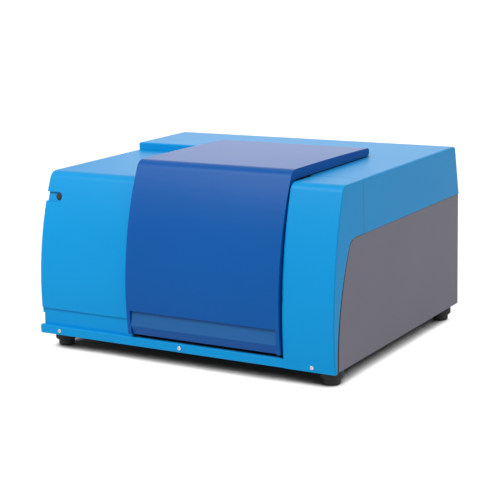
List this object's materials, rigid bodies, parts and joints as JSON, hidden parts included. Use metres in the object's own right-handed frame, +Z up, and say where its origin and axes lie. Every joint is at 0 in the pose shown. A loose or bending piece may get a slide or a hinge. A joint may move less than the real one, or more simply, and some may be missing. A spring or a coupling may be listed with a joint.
{
  "type": "ftir spectrometer",
  "caption": "Bench-top FT near-infrared spectrometer: moulded blue housing, grey side panels, and a large hinged lid over a sample compartment with a lifted cell.",
  "frame": {"origin": "centre of the overall footprint, on the bench surface under the rubber feet", "axes": "+X to the operator's right, +Y from the front to the back, +Z up"},
  "size_m": [0.54, 0.4672, 0.3142],
  "materials": {
    "light_blue_shell": "injection-moulded ABS, fine satin texture, light blue",
    "dark_blue_shell": "injection-moulded ABS, satin, dark blue",
    "grey_panel": "fine-textured powder coat over sheet steel, warm grey",
    "zinc_sheet": "zinc-plated sheet steel",
    "black_rubber": "moulded rubber",
    "black_plastic": "moulded ABS, matt black",
    "inner_grey": "vacuum-formed ABS, dark grey",
    "black_paint": "matt black optical paint over sheet aluminium",
    "bright_steel": "ground and nickel-plated steel",
    "cast_aluminium": "machined cast aluminium",
    "black_anodised": "black-anodised aluminium",
    "optical_glass": "polished optical glass",
    "mirror_coat": "gold-toned front-surface mirror",
    "foam": "closed-cell foam strip",
    "green_board": "solder-masked glass-epoxy board",
    "indicator": "frosted light pipe",
    "lamp": "quartz envelope on a ceramic base"
  },
  "bodies": {
    "housing": {"front_bezel": "light_blue_shell", "left_cover": "light_blue_shell", "hood": "light_blue_shell", "right_side_panel": "grey_panel", "left_side_panel": "grey_panel", "rear_panel": "grey_panel", "base_pan": "zinc_sheet", "foot_front_left": "black_rubber", "foot_front_right": "black_rubber", "foot_rear_left": "black_rubber", "foot_rear_right": "black_rubber", "foot_screws": "bright_steel", "strip_screws": "bright_steel", "button_sleeve": "black_plastic", "hinge_brackets": "bright_steel", "hinge_pins": "bright_steel", "lid_sensor": "black_plastic", "compartment_liner": "black_paint", "compartment_seal": "foam", "port_windows": "optical_glass", "port_rings": "black_anodised", "optical_bench": "cast_aluminium", "bench_isolators": "black_rubber", "interferometer_block": "cast_aluminium", "beamsplitter": "optical_glass", "fixed_mirror_cell": "black_anodised", "fixed_mirror": "mirror_coat", "mirror_drive": "black_anodised", "source_housing": "cast_aluminium", "source_lamp": "lamp", "source_lens_holder": "black_anodised", "beam_lenses": "optical_glass", "reference_laser": "bright_steel", "laser_saddle": "black_anodised", "beam_tubes": "black_anodised", "detector_housing": "cast_aluminium", "detector": "green_board", "stepper_motor": "black_anodised", "guide_rods": "bright_steel", "lift_top_plate": "black_anodised", "fan_frame": "black_plastic", "fan_guard": "bright_steel", "mains_inlet": "black_plastic", "mains_switch": "black_plastic", "power_supply": "zinc_sheet", "control_board": "green_board", "data_sockets": "bright_steel"},
    "lid": {"lid": "dark_blue_shell", "lid_inner_panel": "inner_grey", "lid_magnet": "bright_steel"},
    "button": {"power_button": "black_plastic", "button_indicator": "indicator"},
    "scan_mirror": {"moving_mirror": "mirror_coat"},
    "lift_screw": {"lead_screw": "bright_steel", "shaft_coupling": "cast_aluminium"},
    "lift_carriage": {"cell_carriage": "cast_aluminium", "sample_cell": "black_anodised", "cell_windows": "optical_glass"},
    "fan": {"fan_rotor": "black_plastic"},
    "rocker": {"mains_rocker": "black_plastic"}
  },
  "joints": [
    {"name": "lid_hinge", "type": "hinge", "parent": "housing", "child": "lid", "pos_m": [0.0445, 0.0661, 0.3053], "axis": [-1, 0, 0], "range_deg": [0, 75]},
    {"name": "power_button_press", "type": "slide", "parent": "housing", "child": "button", "axis": [0, 1, 0], "range_m": [0, 0.0015], "stiffness_N_per_m": 800, "springref_m": -0.001},
    {"name": "mirror_scan", "type": "slide", "parent": "housing", "child": "scan_mirror", "axis": [1, 0, 0], "range_m": [-0.002, 0.002], "stiffness_N_per_m": 300},
    {"name": "cell_lift", "type": "slide", "parent": "housing", "child": "lift_carriage", "axis": [0, 0, 1], "range_m": [0, 0.055]},
    {"name": "lift_screw_spin", "type": "hinge", "parent": "housing", "child": "lift_screw", "pos_m": [0.0445, 0.0356, 0.15], "axis": [0, 0, 1], "range_deg": [-2480, 0]},
    {"name": "fan_spin", "type": "hinge", "parent": "housing", "child": "fan", "pos_m": [0.195, 0.2161, 0.115], "axis": [0, 1, 0], "continuous": true},
    {"name": "mains_rocker_tilt", "type": "hinge", "parent": "housing", "child": "rocker", "pos_m": [-0.15, 0.2266, 0.1], "axis": [1, 0, 0], "range_deg": [-10, 10]}
  ],
  "couplings": [
    {"joint": "lift_screw_spin", "follows": "cell_lift", "rad_per_m": -785.4}
  ]
}
